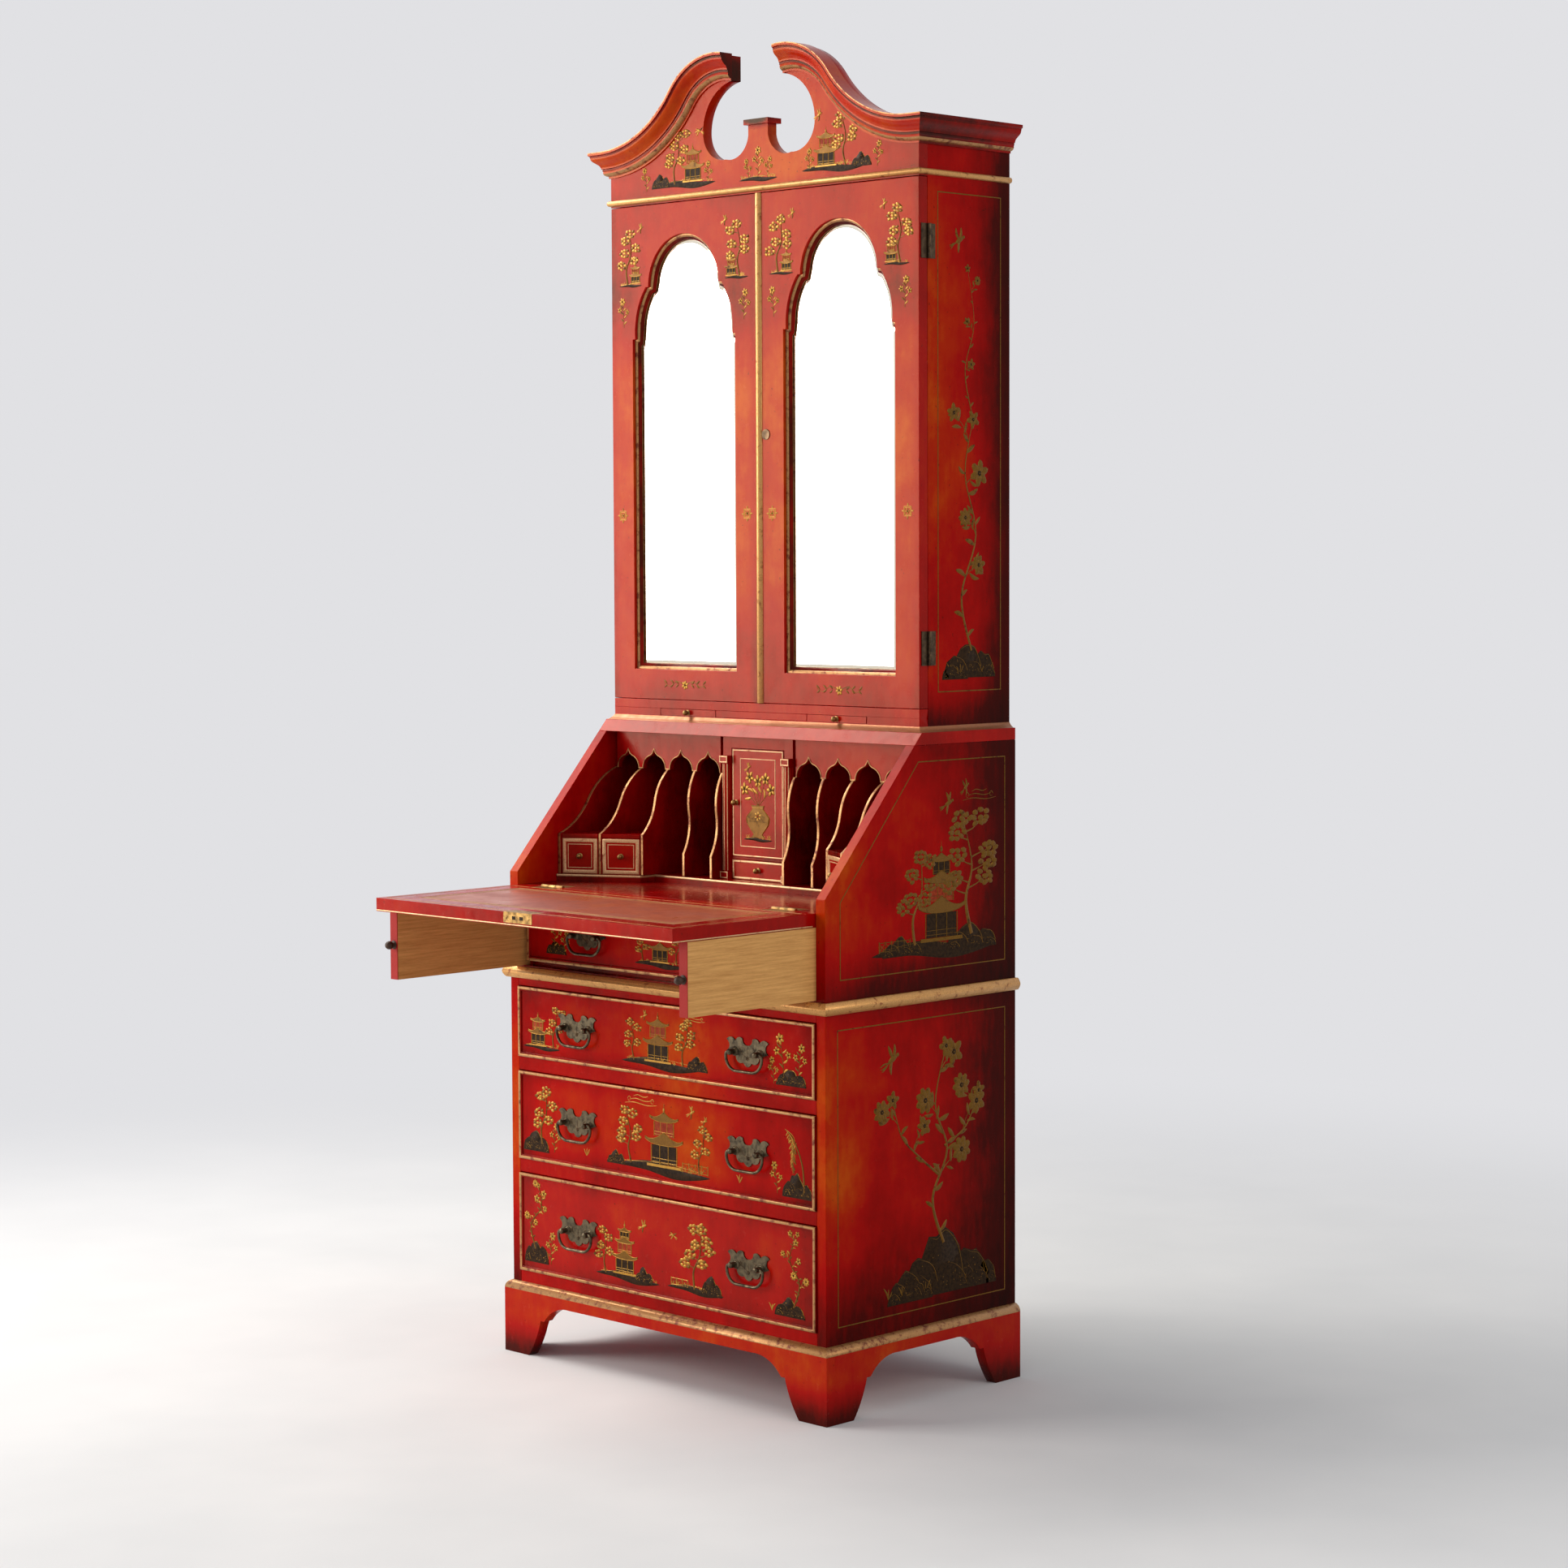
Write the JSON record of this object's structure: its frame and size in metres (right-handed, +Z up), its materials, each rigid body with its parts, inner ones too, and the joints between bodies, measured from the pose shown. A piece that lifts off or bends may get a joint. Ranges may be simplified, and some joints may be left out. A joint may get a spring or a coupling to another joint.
{
  "type": "writing cabinet",
  "caption": "Red lacquered slant-front writing desk on long drawers, with a mirrored cabinet and a swan-neck pediment above, shown with the fall open on its lopers.",
  "frame": {"origin": "on the floor, at the middle of the box that the object fills with its fall open", "axes": "+Z up, +X to the viewer's right, front facing -Y"},
  "size_m": [0.708, 0.6916, 2.002],
  "materials": {
    "red_lacquer": "gloss lacquer",
    "gilt_wood": "gilded",
    "oak": "plain",
    "backing_wood": "plain",
    "antique_brass": "aged",
    "mirror": "polished",
    "desk_leather": "satin"
  },
  "bodies": {
    "case": {"bracket_base": "red_lacquer", "plinth_bead": "gilt_wood", "base_sides": "red_lacquer", "base_rails": "red_lacquer", "waist_moulding": "gilt_wood", "desk_sides": "red_lacquer", "desk_bed": "red_lacquer", "desk_top": "red_lacquer", "pigeonhole_dividers": "red_lacquer", "pigeonhole_valances": "red_lacquer", "prospect_columns": "red_lacquer", "back_panels": "backing_wood", "cabinet_sides": "red_lacquer", "cabinet_boards": "red_lacquer", "cabinet_beads": "gilt_wood", "pediment_board": "red_lacquer", "cornice_mouldings": "red_lacquer", "fixed_hinge_leaves": "antique_brass"},
    "fall": {"fall_board": "red_lacquer", "fall_leather": "desk_leather", "fall_brasses": "antique_brass"},
    "loper_left": {"loper_left": "oak"},
    "loper_right": {"loper_right": "oak"},
    "top_drawer": {"top_drawer_front": "red_lacquer", "top_drawer_box": "oak", "top_drawer_plates": "antique_brass"},
    "top_drawer_bail_left": {"top_drawer_bail_left": "antique_brass"},
    "top_drawer_bail_right": {"top_drawer_bail_right": "antique_brass"},
    "drawer_1": {"drawer_1_front": "red_lacquer", "drawer_1_box": "oak", "drawer_1_plates": "antique_brass"},
    "drawer_1_bail_left": {"drawer_1_bail_left": "antique_brass"},
    "drawer_1_bail_right": {"drawer_1_bail_right": "antique_brass"},
    "drawer_2": {"drawer_2_front": "red_lacquer", "drawer_2_box": "oak", "drawer_2_plates": "antique_brass"},
    "drawer_2_bail_left": {"drawer_2_bail_left": "antique_brass"},
    "drawer_2_bail_right": {"drawer_2_bail_right": "antique_brass"},
    "drawer_3": {"drawer_3_front": "red_lacquer", "drawer_3_box": "oak", "drawer_3_plates": "antique_brass"},
    "drawer_3_bail_left": {"drawer_3_bail_left": "antique_brass"},
    "drawer_3_bail_right": {"drawer_3_bail_right": "antique_brass"},
    "inner_drawer_outer_left": {"inner_drawer_outer_left": "red_lacquer"},
    "inner_drawer_outer_right": {"inner_drawer_outer_right": "red_lacquer"},
    "inner_drawer_inner_left": {"inner_drawer_inner_left": "red_lacquer"},
    "inner_drawer_inner_right": {"inner_drawer_inner_right": "red_lacquer"},
    "centre_drawer": {"centre_drawer": "red_lacquer"},
    "prospect_door": {"prospect_door": "red_lacquer"},
    "candle_slide_left": {"candle_slide_left": "red_lacquer"},
    "candle_slide_right": {"candle_slide_right": "red_lacquer"},
    "door_left": {"door_left_frame": "red_lacquer", "door_left_mirror": "mirror", "door_left_back": "backing_wood", "door_left_brasses": "antique_brass"},
    "door_right": {"door_right_frame": "red_lacquer", "door_right_mirror": "mirror", "door_right_back": "backing_wood", "door_right_brasses": "antique_brass", "door_astragal": "gilt_wood"}
  },
  "joints": [
    {"name": "fall_hinge", "type": "hinge", "parent": "case", "child": "fall", "pos_m": [0, -0.05729, 0.734], "axis": [1, 0, 0], "range_deg": [-131.8, 0]},
    {"name": "loper_left_slide", "type": "slide", "parent": "case", "child": "loper_left", "axis": [0, -1, 0], "range_m": [-0.25, 0]},
    {"name": "loper_right_slide", "type": "slide", "parent": "case", "child": "loper_right", "axis": [0, -1, 0], "range_m": [-0.25, 0]},
    {"name": "top_drawer_slide", "type": "slide", "parent": "case", "child": "top_drawer", "axis": [0, -1, 0], "range_m": [0, 0.26]},
    {"name": "top_drawer_bail_left_hinge", "type": "hinge", "parent": "top_drawer", "child": "top_drawer_bail_left", "pos_m": [-0.16, -0.07634, 0.6647], "axis": [-1, 0, 0], "range_deg": [0, 85]},
    {"name": "top_drawer_bail_right_hinge", "type": "hinge", "parent": "top_drawer", "child": "top_drawer_bail_right", "pos_m": [0.16, -0.07634, 0.6647], "axis": [-1, 0, 0], "range_deg": [0, 85]},
    {"name": "drawer_1_slide", "type": "slide", "parent": "case", "child": "drawer_1", "axis": [0, -1, 0], "range_m": [0, 0.27]},
    {"name": "drawer_1_bail_left_hinge", "type": "hinge", "parent": "drawer_1", "child": "drawer_1_bail_left", "pos_m": [-0.185, -0.07634, 0.5212], "axis": [-1, 0, 0], "range_deg": [0, 85]},
    {"name": "drawer_1_bail_right_hinge", "type": "hinge", "parent": "drawer_1", "child": "drawer_1_bail_right", "pos_m": [0.185, -0.07634, 0.5212], "axis": [-1, 0, 0], "range_deg": [0, 85]},
    {"name": "drawer_2_slide", "type": "slide", "parent": "case", "child": "drawer_2", "axis": [0, -1, 0], "range_m": [0, 0.27]},
    {"name": "drawer_2_bail_left_hinge", "type": "hinge", "parent": "drawer_2", "child": "drawer_2_bail_left", "pos_m": [-0.185, -0.07634, 0.3752], "axis": [-1, 0, 0], "range_deg": [0, 85]},
    {"name": "drawer_2_bail_right_hinge", "type": "hinge", "parent": "drawer_2", "child": "drawer_2_bail_right", "pos_m": [0.185, -0.07634, 0.3752], "axis": [-1, 0, 0], "range_deg": [0, 85]},
    {"name": "drawer_3_slide", "type": "slide", "parent": "case", "child": "drawer_3", "axis": [0, -1, 0], "range_m": [0, 0.27]},
    {"name": "drawer_3_bail_left_hinge", "type": "hinge", "parent": "drawer_3", "child": "drawer_3_bail_left", "pos_m": [-0.185, -0.07634, 0.2072], "axis": [-1, 0, 0], "range_deg": [0, 85]},
    {"name": "drawer_3_bail_right_hinge", "type": "hinge", "parent": "drawer_3", "child": "drawer_3_bail_right", "pos_m": [0.185, -0.07634, 0.2072], "axis": [-1, 0, 0], "range_deg": [0, 85]},
    {"name": "inner_drawer_outer_left_slide", "type": "slide", "parent": "case", "child": "inner_drawer_outer_left", "axis": [0, -1, 0], "range_m": [0, 0.1]},
    {"name": "inner_drawer_outer_right_slide", "type": "slide", "parent": "case", "child": "inner_drawer_outer_right", "axis": [0, -1, 0], "range_m": [0, 0.1]},
    {"name": "inner_drawer_inner_left_slide", "type": "slide", "parent": "case", "child": "inner_drawer_inner_left", "axis": [0, -1, 0], "range_m": [0, 0.1]},
    {"name": "inner_drawer_inner_right_slide", "type": "slide", "parent": "case", "child": "inner_drawer_inner_right", "axis": [0, -1, 0], "range_m": [0, 0.1]},
    {"name": "centre_drawer_slide", "type": "slide", "parent": "case", "child": "centre_drawer", "axis": [0, -1, 0], "range_m": [0, 0.12]},
    {"name": "prospect_door_hinge", "type": "hinge", "parent": "case", "child": "prospect_door", "pos_m": [0.047, 0.14474, 0.863], "axis": [0, 0, 1], "range_deg": [0, 90]},
    {"name": "candle_slide_left_slide", "type": "slide", "parent": "case", "child": "candle_slide_left", "axis": [0, -1, 0], "range_m": [0, 0.115]},
    {"name": "candle_slide_right_slide", "type": "slide", "parent": "case", "child": "candle_slide_right", "axis": [0, -1, 0], "range_m": [0, 0.115]},
    {"name": "door_left_hinge", "type": "hinge", "parent": "case", "child": "door_left", "pos_m": [-0.3314, 0.16476, 1.402], "axis": [0, 0, -1], "range_deg": [0, 110]},
    {"name": "door_right_hinge", "type": "hinge", "parent": "case", "child": "door_right", "pos_m": [0.3314, 0.16476, 1.402], "axis": [0, 0, 1], "range_deg": [0, 110]}
  ]
}
